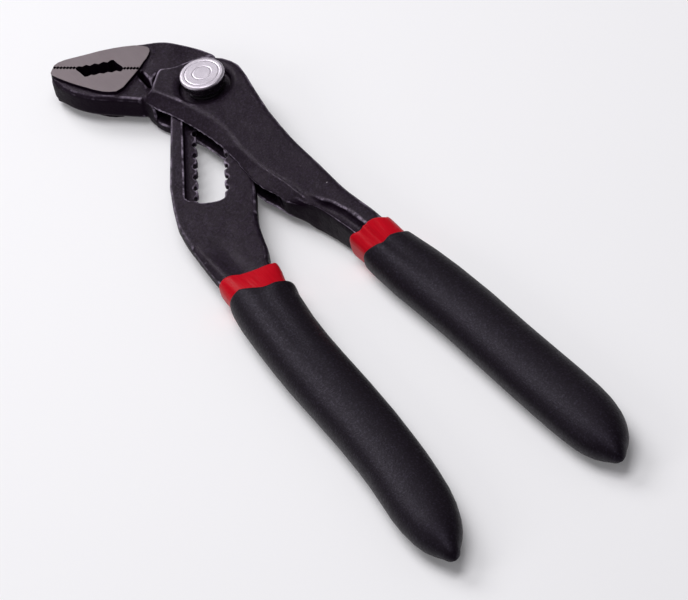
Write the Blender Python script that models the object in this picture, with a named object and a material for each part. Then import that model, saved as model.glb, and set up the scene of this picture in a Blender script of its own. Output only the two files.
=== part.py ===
"""Adjustable push-button box-joint pliers, 250 mm long.

Millimetres in the functions, metres in the scene. X runs towards the jaws, +Y is the side of the
slotted leg's handle, +Z runs up through the push button. The origin is the centre of the pivot
bolt's back face. Both forgings are symmetric about MID, the plane of their parting line.
"""

import math

import bmesh
import bpy
from mathutils import Matrix, Vector

MM = 0.001
MID = 6.5                # height of the parting plane over the table
CHEEK_HALF = 6.0         # half thickness of the box joint
SLOT_HALF = 2.5          # half height of the window between the cheeks
LEG_HALF = 2.2           # half thickness of the leg where it passes the window
JAW_HALF = 5.0           # half thickness of the ground jaw faces
SHOULDER_HALF = 3.8      # half thickness of the jaws beside the ground faces
GAP = 0.3                # between pieces that bear on each other

PITCH = 4.6              # from one position of the pivot to the next
POSITIONS = 10
SLOT_ANGLE = math.radians(150)
SLOT_WIDTH = 8.1
SLOT_END = 46.2          # far end of the slot from the pivot
NOTCH_R = 1.25
LEDGE_WIDTH = 3.4        # step beside the slot on the outer front side
RECESS_WIDTH = 1.6       # step beside the slot on the inner back side

JOURNAL_R = 5.7          # bolt in the back cheek
SLOT_HEAD = -(JOURNAL_R + 0.7)    # end of the slot at the jaws
NECK_R = 3.7             # bolt in the front cheek
KEY_WIDTH = 7.5          # across the flats of the bolt
BUTTON_R = 6.5
CHEEK_TOP = MID + CHEEK_HALF
BUTTON_TOP = CHEEK_TOP + 4.0      # the button goes 2.4 down
COUNTERBORE_R = 7.6
COUNTERBORE_FLOOR = CHEEK_TOP - 2.1
WIRE_R = 0.38
SPRING_R = 4.9

JAW_REAR = (20.0, 10.3)  # ends of the line where the jaws meet
JAW_TIP = (38.2, 28.7)
TOOTH_DEPTH = 0.45
# Pipe cavity: distance along the jaw line from its rear end, and across it
UPPER_CAVITY = ((5.4, 0.8), (6.9, 1.9), (8.5, 3.4), (9.3, 3.3), (10.1, 2.3), (11.4, 2.6), (12.5, 1.6),
                (13.8, 1.9), (15.0, 0.9), (16.2, 1.3), (17.2, 0.5), (18.3, 0.7))
LOWER_CAVITY = ((4.9, -1.1), (5.5, -1.4), (6.6, -1.0), (7.7, -1.8), (9.0, -1.6), (10.1, -2.3),
                (11.3, -2.1), (12.6, -3.0), (13.7, -2.8), (14.5, -3.5), (15.4, -3.7), (17.3, -1.9),
                (18.7, -0.8))

GRIP_HALF = 6.5          # half thickness of the sleeves
SLEEVE_WALL = 0.8
LINER_WALL = 0.6

TAIL = Vector((math.cos(SLOT_ANGLE), math.sin(SLOT_ANGLE)))
SIDE = Vector((-TAIL.y, TAIL.x)) * -1    # from the slot towards the outer edge of the leg


def clear_scene():
    for obj in list(bpy.data.objects):
        bpy.data.objects.remove(obj, do_unlink=True)


def material(name, colour, roughness, metallic):
    made = bpy.data.materials.new(name)
    made.use_nodes = True
    shader = made.node_tree.nodes["Principled BSDF"]
    shader.inputs["Base Color"].default_value = (*colour, 1.0)
    shader.inputs["Roughness"].default_value = roughness
    shader.inputs["Metallic"].default_value = metallic
    return made


def finish_mesh(name, bm, mat=None, helper=False):
    """Puts the mesh in the scene. A helper only cuts or joins another piece."""
    bmesh.ops.remove_doubles(bm, verts=bm.verts[:], dist=1e-4)
    bmesh.ops.recalc_face_normals(bm, faces=bm.faces[:])
    bmesh.ops.scale(bm, vec=(MM, MM, MM), verts=bm.verts[:])
    mesh = bpy.data.meshes.new(name)
    bm.to_mesh(mesh)
    bm.free()
    obj = bpy.data.objects.new(name, mesh)
    bpy.context.scene.collection.objects.link(obj)
    if helper:
        obj.hide_render = True
        obj.display_type = "WIRE"
    else:
        mesh.materials.append(mat)
        mesh.shade_smooth()
        mesh.set_sharp_from_angle(angle=math.radians(35))
    return obj


def empty(name, height):
    """Marks a joint: the pieces that move on it hang from here."""
    obj = bpy.data.objects.new(name, None)
    obj.location = (0.0, 0.0, height * MM)
    obj.empty_display_size = 10 * MM
    bpy.context.scene.collection.objects.link(obj)
    return obj


def hang(pieces, parent):
    """Parents the pieces and leaves them where they stand."""
    for piece in pieces:
        piece.parent = parent
        piece.matrix_parent_inverse = Matrix.Translation(-parent.location)


def boolean(obj, other, operation):
    made = obj.modifiers.new(f"{operation.lower()}_{other.name}", "BOOLEAN")
    made.operation = operation
    made.object = other
    made.solver = "EXACT"


def spline(points, steps=3):
    """Smooth open curve through the points, ends kept."""
    points = [Vector(p) for p in points]
    ends = [points[0] * 2 - points[1], *points, points[-1] * 2 - points[-2]]
    out = []
    for a, b, c, d in zip(ends, ends[1:], ends[2:], ends[3:]):
        for k in range(steps):
            t = k / steps
            out.append(0.5 * ((2 * b) + (c - a) * t + (2 * a - 5 * b + 4 * c - d) * t ** 2
                              + (3 * b - a - 3 * c + d) * t ** 3))
    out.append(points[-1])
    return out


def arc(centre, radius, start, end, steps):
    """Points on an arc, angles in degrees, both ends kept."""
    angles = [math.radians(start + (end - start) * k / steps) for k in range(steps + 1)]
    return [Vector((centre[0] + radius * math.cos(a), centre[1] + radius * math.sin(a)))
            for a in angles]


def rings_mesh(rings, caps=(True, True)):
    """Skin through closed rings of 3-D points, all with the same number of points."""
    bm = bmesh.new()
    loops = [[bm.verts.new(p) for p in ring] for ring in rings]
    for low, high in zip(loops, loops[1:]):
        for k in range(len(low)):
            m = (k + 1) % len(low)
            bm.faces.new((low[k], low[m], high[m], high[k]))
    if caps[0]:
        bm.faces.new(loops[0][::-1])
    if caps[1]:
        bm.faces.new(loops[-1])
    return bm


def at_height(outline, z):
    return [Vector((p[0], p[1], z)) for p in outline]


def prism(outline, low, high):
    return rings_mesh([at_height(outline, low), at_height(outline, high)])


def mirrored_prism(steps):
    """Rings (outline, half height) from the middle outwards, repeated below the parting plane."""
    above = [at_height(outline, MID + half) for outline, half in steps]
    below = [at_height(outline, MID - half) for outline, half in steps]
    return rings_mesh(below[::-1] + above)


def moved_in(outline, distance):
    """The closed outline moved inwards by distance, corner by corner. It runs anticlockwise."""
    out = []
    for k, p in enumerate(outline):
        a = (p - outline[k - 1]).normalized()
        b = (outline[(k + 1) % len(outline)] - p).normalized()
        normal = Vector((-a.y - b.y, a.x + b.x)).normalized()
        stretch = max(0.75, normal.dot(Vector((-a.y, a.x))))
        out.append(p + normal * (distance / stretch))
    return out


def on_leg(along, side):
    """A point given along the slot from the pivot, and across it towards the outer edge."""
    return TAIL * along + SIDE * side


def cylinder(radius, low, high, segments=48, top_radius=None):
    top = radius if top_radius is None else top_radius
    return rings_mesh([at_height(arc((0, 0), r, 0, 360 - 360 / segments, segments - 1), z)
                       for r, z in ((radius, low), (top, high))])


def ring_of(x, y, half_width, half_height, power=2.0, segments=28, slope=0.0):
    """A rounded section across the handle at (x, y), turned by the slope of its centre line."""
    turn = math.atan(slope)
    ring = []
    for k in range(segments):
        a = 2 * math.pi * k / segments
        c, s = math.cos(a), math.sin(a)
        across = half_width * math.copysign(abs(c) ** (2 / power), c)
        up = half_height * math.copysign(abs(s) ** (2 / power), s)
        ring.append(Vector((x - across * math.sin(turn), y + across * math.cos(turn), MID + up)))
    return ring


def value_at(table, x, column):
    """Linear reading of a table whose rows run down in X."""
    for a, b in zip(table, table[1:]):
        if b[0] <= x:
            t = (a[0] - x) / (a[0] - b[0])
            return a[column] + (b[column] - a[column]) * t
    return table[-1][column]


# ---------------------------------------------------------------- jaws

def tooth_line(start, end, count, shift):
    """Zigzag between two points on the jaw line, moved by shift across it."""
    start, end = Vector(start), Vector(end)
    along = (end - start) / count
    across = Vector((along.y, -along.x)).normalized()
    out = []
    for k in range(count):
        out.append(start + along * k + across * shift)
        out.append(start + along * (k + 0.5) + across * (shift + TOOTH_DEPTH))
    out.append(end + across * shift)
    return out


def jaw_line(side):
    """The biting edge from rear to tip: fine teeth, the scalloped pipe cavity, fine teeth."""
    rear, tip = Vector(JAW_REAR), Vector(JAW_TIP)
    along = (tip - rear).normalized()
    across = Vector((along.y, -along.x))
    first, last = 4.8, 19.0
    shift = side * GAP / 2
    cavity = [rear + along * a + across * c for a, c in (UPPER_CAVITY if side > 0 else LOWER_CAVITY)]
    return (tooth_line(rear, rear + along * first, 5, shift) + cavity
            + tooth_line(rear + along * last, tip, 7, shift))


def behind_bite(side):
    """Line inside the jaw, clear of the teeth, where the shoulder ends under the ground face."""
    rear, tip = Vector(JAW_REAR), Vector(JAW_TIP)
    along = (tip - rear).normalized()
    across = Vector((along.y, -along.x)) * side
    depths = ((1.0, 1.2), (4.0, 1.6), (7.0, 3.4), (9.0, 4.8), (14.0, 4.6), (17.0, 3.2), (21.5, 2.0))
    return [rear + along * a + across * c for a, c in depths]


def lower_jaw_outlines():
    """Ground face and shoulder of the jaw on the box forging, anticlockwise."""
    bite = jaw_line(-1)
    edge = spline([bite[-1], (36.8, 30.3), (35.8, 30.6), (33.0, 29.7), (29.3, 28.3), (26.0, 26.8),
                   (21.7, 24.7), (19.3, 23.3), (17.7, 21.9), (16.4, 20.2), (16.5, 17.8),
                   (17.8, 15.0), (19.2, 12.0), bite[0]], 2)
    return bite, edge


# ---------------------------------------------------------------- box forging

# X, parting line and face edge on the far side, face edge and parting line on the leg's side, drop
# below the cheek's face, and how much nearer the parting line the back face's edge runs
BOX_SECTIONS = (
    (6.0, -10.0, -8.9, 11.8, 15.2, 0.0, 0.85), (3.0, -11.1, -10.3, 10.4, 14.7, 0.0, 0.85),
    (0.0, -11.6, -11.0, 9.2, 13.5, 0.0, 0.85), (-5.0, -11.2, -10.4, 8.0, 12.1, 0.0, 0.7),
    (-10.0, -10.3, -9.4, 6.9, 11.0, 0.0, 0.5), (-14.0, -9.6, -8.7, 6.0, 10.3, 0.0, 0.3),
    (-18.0, -9.0, -8.1, 5.4, 9.7, 0.25, 0.15), (-22.0, -8.5, -7.5, 5.3, 9.3, 0.55, 0.0),
    (-30.0, -7.9, -6.8, 6.1, 9.2, 0.6, 0.0), (-36.0, -7.6, -6.4, 6.1, 9.5, 0.6, 0.0),
    (-41.0, -7.5, -6.3, 5.8, 9.9, 0.6, 0.0), (-46.0, -7.6, -6.4, 5.0, 9.6, 0.6, 0.0),
    (-51.0, -7.7, -6.5, 3.9, 8.2, 0.6, 0.0), (-56.0, -7.7, -6.5, 3.0, 7.2, 0.7, 0.0),
    (-61.0, -7.8, -6.6, 2.6, 4.9, 0.9, 0.0), (-66.0, -8.0, -6.9, 1.9, 3.2, 1.1, 0.0),
    (-72.0, -8.6, -7.5, 0.9, 2.0, 1.3, 0.0), (-77.0, -9.3, -8.2, 0.3, 1.4, 1.5, 0.0),
    (-82.0, -9.6, -8.5, -0.3, 0.8, 1.7, 0.0), (-88.0, -9.3, -8.2, -1.3, -0.2, 2.4, 0.0),
    (-94.0, -9.4, -8.4, -1.6, -0.7, 2.6, 0.0), (-100.0, -9.8, -8.9, -1.9, -1.0, 2.6, 0.0),
    (-120.0, -11.6, -10.7, -3.9, -3.0, 2.6, 0.0), (-150.0, -12.5, -11.6, -5.2, -4.3, 2.7, 0.0),
    (-172.0, -13.0, -12.2, -6.4, -5.6, 3.0, 0.0),
)
BOX_WALL_HALF = 2.9      # half height of the upright band along the parting line

CHEEK = ((6.0, -8.9), (9.3, -6.2), (11.2, -2.0), (11.7, 0.6), (12.3, 3.0), (13.2, 4.6),
         (14.6, 6.3), (13.9, 7.6), (11.0, 10.5), (8.7, 12.6), (7.4, 12.6), (6.0, 11.8))
CHEEK_BACK = ((6.0, -8.9), (9.3, -6.2), (11.2, -2.0), (11.7, 0.6), (12.3, 3.0), (13.2, 4.6),
              (14.6, 6.3), (14.3, 8.0), (11.8, 11.7), (9.8, 15.0), (8.2, 15.0), (6.0, 14.7))
CHEEK_BASE = ((6.0, -10.0), (10.0, -7.2), (11.9, -2.3), (12.3, 0.4), (12.9, 2.7), (13.8, 4.3),
              (15.2, 6.3), (14.6, 8.2), (12.0, 12.0), (10.0, 15.6), (8.4, 15.6), (6.0, 15.2))

WINDOW = ((20.0, 11.2), (13.0, 11.2), (8.6, 11.6), (6.6, 12.6), (5.5, 14.4), (4.6, 19.0),
          (-6.0, 26.0), (-54.0, 26.0), (-54.0, 7.2), (-50.0, 6.4), (-43.5, 5.3), (-38.5, 4.2),
          (-32.0, 1.9), (-26.5, -0.7), (-20.0, -4.1), (-14.0, -7.5), (-9.0, -10.8),
          (-7.0, -20.0), (24.0, -20.0), (24.0, 11.2))

NECK_SHOULDER = ((9.5, 16.6), (9.0, 13.6), (12.6, 11.7), (18.9, 11.4))
GROOVE = ((-57.0, 4.4, 0.6), (-62.0, 1.7, 1.3), (-67.0, -0.8, 1.7), (-73.0, -2.4, 1.9),
          (-80.0, -3.3, 1.9), (-92.0, -4.6, 1.5))
GROOVE_DEPTH = 2.2


def box_sections_mesh():
    rings = []
    for x, far_out, far_top, near_top, near_out, drop, square in BOX_SECTIONS:
        half = CHEEK_HALF - drop
        wall = min(BOX_WALL_HALF, half - 0.9)
        corner = min(0.5, (half - wall) / 4)
        back_top = near_top + (near_out - near_top) * square
        rings.append([Vector((x, y, MID + z)) for y, z in (
            (far_out, -wall), (far_top - corner, 0.6 * corner - half), (far_top + corner, -half),
            (back_top - corner, -half), (back_top + corner, 0.6 * corner - half),
            (near_out, -wall), (near_out, wall), (near_top + corner, half - 0.6 * corner),
            (near_top - corner, half), (far_top + corner, half),
            (far_top - corner, half - 0.6 * corner), (far_out, wall))])
    return rings_mesh(rings)


def cheek_mesh():
    """The rounded head end of both cheeks, drafted from the parting line to the faces."""
    closing = ((-2.0, 9.0), (-2.0, -9.0))
    return rings_mesh([at_height(outline + closing, MID + half) for outline, half in (
        (CHEEK_BACK, -CHEEK_HALF), (CHEEK_BASE, -BOX_WALL_HALF), (CHEEK_BASE, BOX_WALL_HALF),
        (CHEEK, CHEEK_HALF))])


def lower_jaw_mesh():
    """Shoulder of the jaw, with the neck that joins it to the box."""
    neck = [Vector(p) for p in NECK_SHOULDER]
    outer = spline([(37.2, 29.6), (35.6, 31.2), (32.0, 30.9), (28.0, 30.0), (24.4, 28.5),
                    (20.6, 26.2), (17.2, 23.3), (13.4, 19.9), neck[0]], 2)
    outline = behind_bite(-1) + outer[:-1] + neck
    return mirrored_prism([(outline, SHOULDER_HALF - 1.0), (moved_in(outline, 0.7), SHOULDER_HALF)])


def ground_face_mesh(outlines):
    bite, edge = outlines
    outline = bite[:-1] + edge[:-1]
    return mirrored_prism([(outline, JAW_HALF)])


def groove_cutter():
    rings = []
    for x, y, half in GROOVE:
        level = CHEEK_TOP - value_at(BOX_SECTIONS, x, 5)
        deep = GROOVE_DEPTH * min(1.0, half / 1.6)
        rings.append([Vector((x, y + s * half * 1.5, level + 3.0)) for s in (-1, 1)]
                     + [Vector((x, y + half, level - 0.5 * deep)),
                        Vector((x, y + 0.5 * half, level - deep)),
                        Vector((x, y - 0.5 * half, level - deep)),
                        Vector((x, y - half, level - 0.5 * deep))])
    return rings_mesh(rings)


def flip_copy(bm):
    """A copy turned over the parting plane."""
    other = bm.copy()
    bmesh.ops.scale(other, vec=(1, 1, -1), verts=other.verts[:])
    bmesh.ops.translate(other, vec=(0, 0, 2 * MID), verts=other.verts[:])
    bmesh.ops.reverse_faces(other, faces=other.faces[:])
    return other


def box_handle(steel):
    obj = finish_mesh("box_handle", box_sections_mesh(), steel)
    for name, bm in (("cheek_ends", cheek_mesh()), ("lower_shoulder", lower_jaw_mesh()),
                     ("lower_face", ground_face_mesh(lower_jaw_outlines()))):
        boolean(obj, finish_mesh(name, bm, helper=True), "UNION")
    cutter = groove_cutter()
    back = flip_copy(cutter)
    bore = cylinder(NECK_R + GAP, MID, MID + 9.0, 40)
    back_bore = cylinder(JOURNAL_R + GAP, -2.0, MID, 48)
    counterbore = cylinder(COUNTERBORE_R, COUNTERBORE_FLOOR, 20.0)
    dish = cylinder(COUNTERBORE_R - 0.7, CHEEK_TOP - 1.2, CHEEK_TOP + 0.6,
                    top_radius=COUNTERBORE_R + 2.3)
    window = prism([Vector(p) for p in WINDOW], MID - SLOT_HALF, MID + SLOT_HALF)
    for name, bm in (("window", window), ("front_bore", bore), ("back_bore", back_bore),
                     ("counterbore", counterbore), ("dish", dish),
                     ("groove_front", cutter), ("groove_back", back)):
        boolean(obj, finish_mesh(name, bm, helper=True), "DIFFERENCE")
    return obj


# ---------------------------------------------------------------- slotted leg

# X, edge towards the box handle, outer edge, half thickness at each
LEG_SECTIONS = (
    (-44.0, 11.0, 35.9, 2.2), (-48.0, 12.9, 36.7, 2.2), (-52.0, 15.2, 37.2, 2.2),
    (-57.0, 17.4, 37.8, 2.2), (-62.0, 19.1, 38.3, 2.2), (-67.0, 20.6, 38.7, 2.3),
    (-70.0, 21.9, 38.8, 2.5), (-72.0, 23.2, 38.6, 2.7), (-76.0, 24.4, 38.7, 3.1),
    (-80.0, 25.6, 38.8, 3.4), (-90.0, 28.2, 39.2, 3.5), (-105.0, 30.6, 40.8, 3.5),
    (-130.0, 32.6, 41.9, 3.4), (-155.0, 34.4, 43.4, 3.3), (-172.0, 37.2, 44.2, 3.0),
)


def leg_sections_mesh():
    rings = []
    for x, inner, outer, half in LEG_SECTIONS:
        edge = 1.1
        wall = half - 0.9
        rings.append([Vector((x, y, MID + z)) for y, z in (
            (inner, -wall), (inner + edge, -half), (outer - 1.6 * edge, -half), (outer, -wall),
            (outer, wall), (outer - 1.6 * edge, half), (inner + edge, half), (inner, wall))])
    return rings_mesh(rings)


def leg_plate_outline():
    """The flat part from the shank up to the jaw, anticlockwise from the inner corner."""
    inner = [on_leg(t, -d) for t, d in ((44.3, 12.9), (36.0, 12.2), (24.0, 11.4), (12.0, 10.3),
                                        (4.0, 9.2), (-3.0, 7.6), (-9.0, 5.2))]
    head = [(11.2, -9.3), (14.6, -8.2), (18.6, -5.9), (19.6, 2.0), (19.4, 9.6), (18.4, 10.7),
            (13.0, 10.7), (9.2, 10.2)]
    outer = [on_leg(t, d) for t, d in ((0.0, 10.6), (8.0, 10.9), (19.0, 11.3), (37.0, 11.8),
                                       (46.0, 11.0))]
    lower = [(-41.0, 35.2), (-47.0, 36.4), (-53.0, 37.2), (-53.0, 15.6), (-48.6, 13.2)]
    return [Vector(p) for p in inner + head + outer + lower]


def upper_jaw_outlines():
    """Shoulder and ground face of the upper jaw, anticlockwise, biting edge last."""
    bite = jaw_line(1)[::-1]
    face = spline([bite[-1], (21.4, 8.0), (22.2, 5.6), (24.6, 3.4), (26.0, 3.8), (27.8, 4.8),
                   (29.3, 6.2), (31.3, 9.0), (32.8, 11.5), (34.6, 15.0), (35.8, 18.0),
                   (37.1, 21.0), (38.5, 24.2), (39.0, 26.4), (38.8, 27.9), bite[0]], 2)
    return bite, face


def upper_shoulder_outline():
    around = spline([(10.6, -9.7), (15.6, -8.0), (20.6, -5.2), (24.6, -1.6), (27.6, 2.2),
                     (30.4, 6.4), (33.0, 11.0), (35.0, 15.2), (37.4, 20.6), (39.0, 24.8)], 2)
    return around + behind_bite(1)[::-1] + [Vector(p) for p in CHEEK_CLEARANCE]


# Inner edge of the thick part of the leg: it keeps clear of the cheeks while the leg swings
CHEEK_CLEARANCE = tuple((r * math.cos(math.radians(a)), r * math.sin(math.radians(a)))
                         for r, a in ((17.2, 37.5), (17.2, 30.0), (17.2, 22.5), (15.9, 19.0),
                                      (14.3, 15.5), (13.5, 8.0), (13.1, 0.0), (12.9, -10.0),
                                      (12.9, -20.0), (12.9, -30.0)))


def upper_jaw_mesh():
    outline = upper_shoulder_outline()
    return mirrored_prism([(outline, SHOULDER_HALF - 1.1), (moved_in(outline, 0.6), SHOULDER_HALF)])


def slot_cutter():
    """Through slot, with the round notches of the inner wall in the upper half."""
    half = SLOT_WIDTH / 2
    head = [on_leg(SLOT_HEAD + 3.0 - 3.0 * math.sin(a), half * math.cos(a))
            for a in [math.pi * k / 10 for k in range(11)]]
    tail = [on_leg(SLOT_END - 1.0, -half), on_leg(SLOT_END - 0.2, -half * 0.6),
            on_leg(SLOT_END, 0), on_leg(SLOT_END - 0.2, half * 0.6), on_leg(SLOT_END - 1.0, half)]
    return prism(head + tail, 0.0, 13.0)


def notch_cutter(side, low, high):
    """A row of notches along one wall: one band whose far edge carries the half circles."""
    half = SLOT_WIDTH / 2
    row = [on_leg(SLOT_HEAD + 4.0, side * (half - 1.5))]
    for n in range(POSITIONS):
        for k in range(7):
            a = math.pi * k / 6
            row.append(on_leg(n * PITCH - NOTCH_R * math.cos(a),
                              side * (half - 0.01 + NOTCH_R * math.sin(a))))
    row.append(on_leg((POSITIONS - 1) * PITCH + 2.0, side * (half - 1.5)))
    return prism(row, low, high)


def ledge_cutter(side, width, low, high):
    half = SLOT_WIDTH / 2
    start, end = SLOT_HEAD + 2.5, SLOT_END - 1.6
    points = [(start, half - 2), (start, half + width - 1.4), (start + 1.2, half + width),
              (end - 2.0, half + width), (end - 0.6, half + width - 0.9), (end, half + width - 2.4),
              (end, half - 2)]
    return prism([on_leg(t, side * d) for t, d in points], low, high)


def slotted_leg(steel):
    plate = leg_plate_outline()
    body = mirrored_prism([(plate, LEG_HALF - 0.5), (moved_in(plate, 0.5), LEG_HALF)])
    obj = finish_mesh("slotted_leg", body, steel)
    for name, bm in (("leg_shank", leg_sections_mesh()), ("upper_shoulder", upper_jaw_mesh()),
                     ("upper_face", ground_face_mesh(upper_jaw_outlines()))):
        boolean(obj, finish_mesh(name, bm, helper=True), "UNION")
    for name, bm in (("slot", slot_cutter()),
                     ("inner_notches", notch_cutter(-1, MID, 13.0)),
                     ("inner_recess", ledge_cutter(-1, RECESS_WIDTH, 0.0, MID)),
                     ("outer_ledge", ledge_cutter(1, LEDGE_WIDTH, MID, 13.0)),
                     ("outer_notches", notch_cutter(1, 0.0, MID))):
        boolean(obj, finish_mesh(name, bm, helper=True), "DIFFERENCE")
    return obj


# ---------------------------------------------------------------- pivot

def key_section(low, high):
    """Bolt between its flats, with the round ends of the journal."""
    half = KEY_WIDTH / 2
    reach = math.degrees(math.asin(half / JOURNAL_R))
    ends = arc((0, 0), JOURNAL_R, -reach, reach, 8) + arc((0, 0), JOURNAL_R, 180 - reach,
                                                       180 + reach, 8)
    turned = [on_leg(p.x, p.y) for p in ends]
    return prism(turned, low, high)


def lug(side, low, high):
    half = SLOT_WIDTH / 2
    round_end = [on_leg(-(NOTCH_R - GAP) * math.cos(math.pi * k / 8),
                        side * (half + (NOTCH_R - GAP) * math.sin(math.pi * k / 8)))
                 for k in range(9)]
    root = [on_leg(NOTCH_R - GAP, side * 1.0), on_leg(GAP - NOTCH_R, side * 1.0)]
    return prism(round_end + root, low, high)


def pivot_bolt(bright):
    key_low, key_high = MID - LEG_HALF - 0.1, MID + LEG_HALF
    obj = finish_mesh("pivot_bolt", cylinder(JOURNAL_R, 0.0, key_low), bright)
    for name, bm in (("key", key_section(key_low - 0.5, key_high)),
                     ("neck", cylinder(NECK_R, key_high - 0.5, BUTTON_TOP - 1.9, 40)),
                     ("lug_outer", lug(1, MID - LEG_HALF + 0.1, MID - 0.15)),
                     ("lug_inner", lug(-1, MID + 0.15, key_high - 0.1))):
        boolean(obj, finish_mesh(name, bm, helper=True), "UNION")
    return obj


def push_button(bright):
    """Cap turned as one cup: rounded rim, shallow ring on the face, open below for the spring."""
    inner, floor, skirt = BUTTON_R - 0.7, BUTTON_TOP - 1.6, BUTTON_TOP - 3.4
    profile = [(inner, skirt), (BUTTON_R, skirt), (BUTTON_R, BUTTON_TOP - 0.6),
               (BUTTON_R - 0.2, BUTTON_TOP - 0.2), (BUTTON_R - 0.7, BUTTON_TOP),
               (BUTTON_R - 1.5, BUTTON_TOP), (BUTTON_R - 1.8, BUTTON_TOP - 0.25),
               (BUTTON_R - 2.3, BUTTON_TOP - 0.25), (BUTTON_R - 2.6, BUTTON_TOP - 0.05),
               (0.4, BUTTON_TOP)]
    rings = [at_height(arc((0, 0), r, 0, 352.5, 47), z) for r, z in profile]
    under = [at_height(arc((0, 0), r, 0, 352.5, 47), z) for r, z in ((0.4, floor), (inner, floor))]
    return finish_mesh("push_button", rings_mesh(under + rings), bright)


def button_spring(wire):
    """Compression spring around the neck, two turns with its ends laid flat."""
    low, high = COUNTERBORE_FLOOR + GAP + WIRE_R, BUTTON_TOP - 1.6 - GAP - WIRE_R
    turns, steps, sides = 2.6, 26, 8
    rings = []
    for k in range(int(turns * steps) + 1):
        turn = k / steps
        share = min(1.0, max(0.0, (turn - 0.5) / (turns - 1.0)))
        a = 2 * math.pi * turn
        centre = Vector((SPRING_R * math.cos(a), SPRING_R * math.sin(a), low + (high - low) * share))
        outward = Vector((math.cos(a), math.sin(a), 0))
        rings.append([centre + outward * (WIRE_R * math.cos(2 * math.pi * m / sides))
                      + Vector((0, 0, WIRE_R * math.sin(2 * math.pi * m / sides)))
                      for m in range(sides)])
    return finish_mesh("button_spring", rings_mesh(rings), wire)


# ---------------------------------------------------------------- grips

# X and Y of the centre line, half width of the sleeve
BOX_GRIP = ((-90.5, -4.8, 7.8), (-94.0, -5.1, 8.1), (-99.0, -5.4, 8.4), (-105.0, -5.9, 8.8),
            (-115.0, -6.8, 9.0), (-130.0, -7.75, 9.1), (-150.0, -8.4, 9.2), (-165.0, -9.0, 9.4),
            (-176.0, -9.5, 9.5), (-180.0, -9.7, 9.5), (-190.0, -9.9, 9.3), (-196.0, -9.7, 8.6),
            (-201.0, -9.3, 7.0), (-205.5, -8.8, 4.7), (-208.6, -8.5, 2.6), (-210.4, -8.3, 1.3),
            (-211.4, -8.2, 0.5))
LEG_GRIP = ((-80.0, 32.1, 9.2), (-84.0, 32.8, 9.5), (-90.0, 33.7, 9.7), (-100.0, 35.1, 9.4),
            (-110.0, 36.1, 9.4), (-120.0, 36.8, 9.5), (-135.0, 37.5, 9.5), (-150.0, 38.4, 9.4),
            (-162.0, 39.5, 9.3), (-170.0, 40.4, 9.3), (-178.0, 41.6, 9.3),
            (-184.0, 42.6, 9.3), (-192.0, 44.0, 8.8),
            (-198.0, 45.1, 7.6), (-203.0, 46.0, 5.6), (-207.0, 46.7, 3.5), (-209.6, 47.1, 2.0),
            (-211.4, 47.4, 1.2), (-212.4, 47.6, 0.5))
# Visible band of the under-layer: X, Y, half width, half thickness, squareness of the section
BOX_BAND = ((-81.0, -4.2, 6.6, 5.8, 3.8), (-85.5, -4.5, 6.6, 5.5, 3.3))
LEG_BAND = ((-72.4, 31.0, 8.8, 4.2, 4.0), (-76.0, 31.5, 8.8, 4.7, 3.4))
LINER_END = -186.0


def slope_at(table, k):
    a, b = table[max(0, k - 1)], table[min(len(table) - 1, k + 1)]
    return (a[1] - b[1]) / (a[0] - b[0])


def sleeve_rings(table, inward, half, end=None):
    """Rings down the sleeve, moved in by inward. Beyond end the table is left out."""
    rings = []
    for k, (x, y, width) in enumerate(table):
        if end is not None and x < end:
            break
        height = half * min(1.0, (width / 9.0) ** 0.5) if x > -150 else half * min(1.0, width / 7.5)
        rings.append(ring_of(x, y, width - inward, min(half, height) - inward, 2.3,
                             slope=slope_at(table, k)))
    return rings


def sleeve(name, table, vinyl):
    outer = sleeve_rings(table, 0.0, GRIP_HALF)
    inner = sleeve_rings(table, SLEEVE_WALL, GRIP_HALF, LINER_END - 1.0)
    inner.append([p + Vector((-1.5, 0, 0)) for p in inner[-1]])
    return finish_mesh(name, rings_mesh(inner[::-1] + outer), vinyl)


def liner(name, band, table, red):
    """Under-layer of the dipped grip: it shows as a band and runs on inside the sleeve."""
    outer, inner = [], []
    slope = slope_at(table, 0)
    for x, y, width, height, square in band:
        outer.append(ring_of(x, y, width, height, square, slope=slope))
        inner.append(ring_of(x, y, width - LINER_WALL, height - LINER_WALL, square, slope=slope))
    under = SLEEVE_WALL + GAP
    outer += sleeve_rings(table, under, GRIP_HALF, LINER_END)
    inner += sleeve_rings(table, under + LINER_WALL, GRIP_HALF, LINER_END + 7.0)
    return finish_mesh(name, rings_mesh(inner[::-1] + outer), red)


def main():
    clear_scene()
    steel = material("phosphated_steel", (0.055, 0.05, 0.058), 0.45, 0.85)
    bright = material("bright_nickel", (0.70, 0.68, 0.74), 0.25, 1.0)
    wire = material("spring_wire", (0.35, 0.34, 0.35), 0.35, 1.0)
    vinyl = material("black_vinyl", (0.02, 0.02, 0.026), 0.65, 0.0)
    red = material("red_vinyl", (0.60, 0.01, 0.03), 0.3, 0.0)
    pivot = empty("pivot_axis", MID)
    press = empty("press_axis", BUTTON_TOP)
    box_handle(steel)
    liner("box_liner", BOX_BAND, BOX_GRIP, red)
    sleeve("box_sleeve", BOX_GRIP, vinyl)
    hang([slotted_leg(steel), liner("leg_liner", LEG_BAND, LEG_GRIP, red),
          sleeve("leg_sleeve", LEG_GRIP, vinyl), button_spring(wire)], pivot)
    bolt = [pivot_bolt(bright), push_button(bright)]
    for piece in bolt:
        piece.parent = press
        piece.matrix_parent_inverse = Matrix.Translation((0.0, 0.0, -BUTTON_TOP * MM))


main()
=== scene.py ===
"""Looks of the adjustable push-button pliers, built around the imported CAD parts.

Millimetres in the sizes, metres in the scene. X runs towards the jaws, +Y is the side of the
slotted leg's handle, +Z runs up through the push button.
"""

import math

import bmesh
import bpy
import numpy as np
from mathutils import Matrix, Vector


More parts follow.
